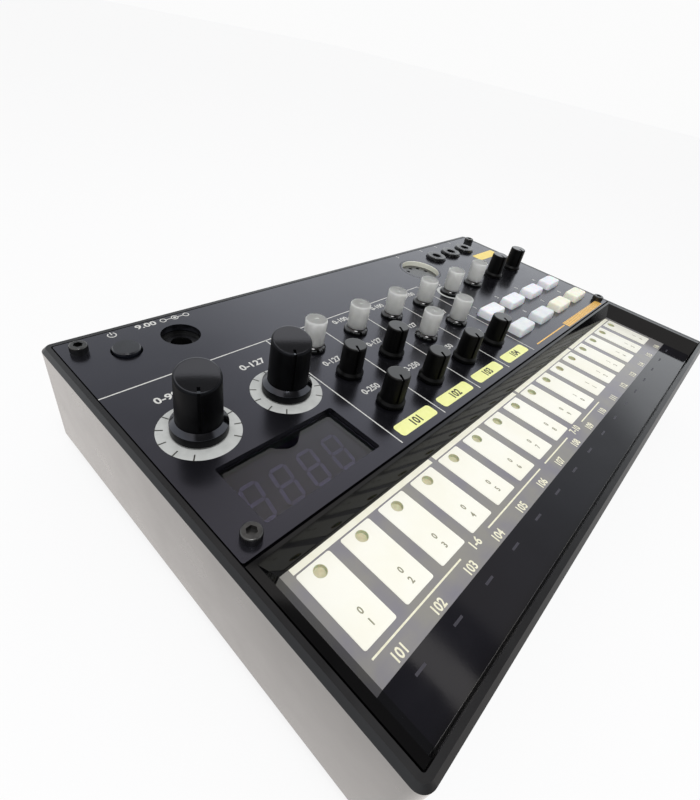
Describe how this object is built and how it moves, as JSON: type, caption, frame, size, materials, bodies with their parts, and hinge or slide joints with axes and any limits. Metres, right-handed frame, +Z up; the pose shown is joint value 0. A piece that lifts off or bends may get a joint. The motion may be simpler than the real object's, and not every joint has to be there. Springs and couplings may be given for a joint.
{
  "type": "drum machine",
  "caption": "Desktop drum machine: shallow case with a knob panel, sunk touch pads in front, display, function buttons, sockets along the back and a battery bay.",
  "frame": {"origin": "centre of the footprint, on the surface the feet stand on", "axes": "+X to the right along the case's width, +Y to the back edge with the sockets, +Z up"},
  "size_m": [0.193, 0.115, 0.046],
  "materials": {
    "case_black": "satin moulded",
    "base_black": "fine moulded grain",
    "panel_black": "satin",
    "bezel_gloss": "polished",
    "touch_board": "lacquered board",
    "pad_gold": "plated",
    "screw_black": "black oxide",
    "screw_zinc": "zinc plated",
    "foot_rubber": "matt",
    "cell_sleeve": "printed sleeve",
    "contact_metal": "nickel plated",
    "board_green": "solder lacquer",
    "component_black": "moulded",
    "pot_metal": "pressed",
    "display_glass": "polished smoked lens",
    "display_block": "moulded",
    "socket_black": "moulded",
    "shell_metal": "nickel plated",
    "speaker_metal": "pressed",
    "lamp_amber": "clear resin",
    "power_key_black": "satin",
    "knob_black": "soft satin",
    "knob_frosted": "frosted translucent",
    "button_white": "silicone",
    "button_cream": "silicone",
    "print_white": "screen-printed ink",
    "print_dark": "screen-printed ink",
    "print_yellow": "screen-printed ink",
    "print_orange": "screen-printed ink",
    "strip_gloss": "polished"
  },
  "bodies": {
    "case": {"audio_jacks": "socket_black", "battery_cells": "cell_sleeve", "battery_contacts": "contact_metal", "board_components": "component_black", "case_screws": "screw_zinc", "dc_jack": "socket_black", "dc_jack_pin": "contact_metal", "display_module": "display_block", "display_window": "display_glass", "lower_case": "base_black", "main_board": "board_green", "midi_shell": "shell_metal", "midi_socket": "socket_black", "pad_lamps": "lamp_amber", "panel_screws": "screw_black", "potentiometers": "pot_metal", "rubber_feet": "foot_rubber", "speaker": "speaker_metal", "tact_switches": "component_black", "top_panel": "panel_black", "touch_bezel": "bezel_gloss", "touch_board": "touch_board", "touch_pads": "pad_gold", "upper_case": "case_black"},
    "accent_control": {"accent_skirt": "knob_black", "accent_cap": "knob_frosted"},
    "button_1_key": {"button_1": "button_white"},
    "button_2_key": {"button_2": "button_white"},
    "button_3_key": {"button_3": "button_white"},
    "button_4_key": {"button_4": "button_white"},
    "button_5_key": {"button_5": "button_white"},
    "button_6_key": {"button_6": "button_white"},
    "button_7_key": {"button_7": "button_cream"},
    "button_8_key": {"button_8": "button_cream"},
    "decay_1_control": {"decay_1_knob": "knob_black"},
    "decay_2_control": {"decay_2_knob": "knob_black"},
    "decay_3_control": {"decay_3_knob": "knob_black"},
    "decay_4_control": {"decay_4_knob": "knob_black"},
    "depth_control": {"depth_knob": "knob_black"},
    "level_1_control": {"level_1_skirt": "knob_black", "level_1_cap": "knob_frosted"},
    "level_2_control": {"level_2_skirt": "knob_black", "level_2_cap": "knob_frosted"},
    "level_3_control": {"level_3_skirt": "knob_black", "level_3_cap": "knob_frosted"},
    "level_4_control": {"level_4_skirt": "knob_black", "level_4_cap": "knob_frosted"},
    "pitch_1_control": {"pitch_1_knob": "knob_black"},
    "pitch_2_control": {"pitch_2_knob": "knob_black"},
    "swing_control": {"swing_skirt": "knob_black", "swing_cap": "knob_frosted"},
    "tempo_control": {"tempo_knob": "knob_black"},
    "time_control": {"time_knob": "knob_black"},
    "tone_3_control": {"tone_3_skirt": "knob_black", "tone_3_cap": "knob_frosted"},
    "tone_4_control": {"tone_4_skirt": "knob_black", "tone_4_cap": "knob_frosted"},
    "volume_control": {"volume_knob": "knob_black"},
    "power_key": {"power_button": "power_key_black"},
    "door": {"battery_door": "base_black"}
  },
  "joints": [
    {"name": "accent_turn", "type": "hinge", "parent": "case", "child": "accent_control", "pos_m": [0.04765, 0.0225, 0.0307], "axis": [0, 0, -1], "range_deg": [0, 300]},
    {"name": "button_1_press", "type": "slide", "parent": "case", "child": "button_1_key", "axis": [0, 0, -1], "range_m": [0, 0.0005], "stiffness_N_per_m": 1200, "springref_m": -0.0002},
    {"name": "button_2_press", "type": "slide", "parent": "case", "child": "button_2_key", "axis": [0, 0, -1], "range_m": [0, 0.0005], "stiffness_N_per_m": 1200, "springref_m": -0.0002},
    {"name": "button_3_press", "type": "slide", "parent": "case", "child": "button_3_key", "axis": [0, 0, -1], "range_m": [0, 0.0005], "stiffness_N_per_m": 1200, "springref_m": -0.0002},
    {"name": "button_4_press", "type": "slide", "parent": "case", "child": "button_4_key", "axis": [0, 0, -1], "range_m": [0, 0.0005], "stiffness_N_per_m": 1200, "springref_m": -0.0002},
    {"name": "button_5_press", "type": "slide", "parent": "case", "child": "button_5_key", "axis": [0, 0, -1], "range_m": [0, 0.0005], "stiffness_N_per_m": 1200, "springref_m": -0.0002},
    {"name": "button_6_press", "type": "slide", "parent": "case", "child": "button_6_key", "axis": [0, 0, -1], "range_m": [0, 0.0005], "stiffness_N_per_m": 1200, "springref_m": -0.0002},
    {"name": "button_7_press", "type": "slide", "parent": "case", "child": "button_7_key", "axis": [0, 0, -1], "range_m": [0, 0.0005], "stiffness_N_per_m": 1200, "springref_m": -0.0002},
    {"name": "button_8_press", "type": "slide", "parent": "case", "child": "button_8_key", "axis": [0, 0, -1], "range_m": [0, 0.0005], "stiffness_N_per_m": 1200, "springref_m": -0.0002},
    {"name": "decay_1_turn", "type": "hinge", "parent": "case", "child": "decay_1_control", "pos_m": [-0.04072, -0.006, 0.0307], "axis": [0, 0, -1], "range_deg": [0, 300]},
    {"name": "decay_2_turn", "type": "hinge", "parent": "case", "child": "decay_2_control", "pos_m": [-0.02287, -0.006, 0.0307], "axis": [0, 0, -1], "range_deg": [0, 300]},
    {"name": "decay_3_turn", "type": "hinge", "parent": "case", "child": "decay_3_control", "pos_m": [-0.00501, -0.006, 0.0307], "axis": [0, 0, -1], "range_deg": [0, 300]},
    {"name": "decay_4_turn", "type": "hinge", "parent": "case", "child": "decay_4_control", "pos_m": [0.01285, -0.006, 0.0307], "axis": [0, 0, -1], "range_deg": [0, 300]},
    {"name": "depth_turn", "type": "hinge", "parent": "case", "child": "depth_control", "pos_m": [-0.059, 0.0122, 0.0307], "axis": [0, 0, -1], "range_deg": [0, 300]},
    {"name": "level_1_turn", "type": "hinge", "parent": "case", "child": "level_1_control", "pos_m": [-0.04072, 0.0225, 0.0307], "axis": [0, 0, -1], "range_deg": [0, 300]},
    {"name": "level_2_turn", "type": "hinge", "parent": "case", "child": "level_2_control", "pos_m": [-0.02287, 0.0225, 0.0307], "axis": [0, 0, -1], "range_deg": [0, 300]},
    {"name": "level_3_turn", "type": "hinge", "parent": "case", "child": "level_3_control", "pos_m": [-0.00501, 0.0225, 0.0307], "axis": [0, 0, -1], "range_deg": [0, 300]},
    {"name": "level_4_turn", "type": "hinge", "parent": "case", "child": "level_4_control", "pos_m": [0.01285, 0.0225, 0.0307], "axis": [0, 0, -1], "range_deg": [0, 300]},
    {"name": "pitch_1_turn", "type": "hinge", "parent": "case", "child": "pitch_1_control", "pos_m": [-0.04072, 0.00825, 0.0307], "axis": [0, 0, -1], "range_deg": [0, 300]},
    {"name": "pitch_2_turn", "type": "hinge", "parent": "case", "child": "pitch_2_control", "pos_m": [-0.02287, 0.00825, 0.0307], "axis": [0, 0, -1], "range_deg": [0, 300]},
    {"name": "swing_turn", "type": "hinge", "parent": "case", "child": "swing_control", "pos_m": [0.03058, 0.0225, 0.0307], "axis": [0, 0, -1], "range_deg": [0, 300]},
    {"name": "tempo_turn", "type": "hinge", "parent": "case", "child": "tempo_control", "pos_m": [0.06473, 0.0225, 0.0307], "axis": [0, 0, -1], "range_deg": [0, 300]},
    {"name": "time_turn", "type": "hinge", "parent": "case", "child": "time_control", "pos_m": [-0.0826, 0.0122, 0.0307], "axis": [0, 0, -1], "range_deg": [0, 300]},
    {"name": "tone_3_turn", "type": "hinge", "parent": "case", "child": "tone_3_control", "pos_m": [-0.00501, 0.00825, 0.0307], "axis": [0, 0, -1], "range_deg": [0, 300]},
    {"name": "tone_4_turn", "type": "hinge", "parent": "case", "child": "tone_4_control", "pos_m": [0.01285, 0.00825, 0.0307], "axis": [0, 0, -1], "range_deg": [0, 300]},
    {"name": "volume_turn", "type": "hinge", "parent": "case", "child": "volume_control", "pos_m": [0.0818, 0.0225, 0.0307], "axis": [0, 0, -1], "range_deg": [0, 300]},
    {"name": "power_press", "type": "slide", "parent": "case", "child": "power_key", "axis": [0, 0, -1], "range_m": [0, 0.0005], "stiffness_N_per_m": 1200, "springref_m": -0.0002},
    {"name": "door_slide", "type": "slide", "parent": "case", "child": "door", "axis": [0, -1, 0], "range_m": [0, 0.009]}
  ]
}
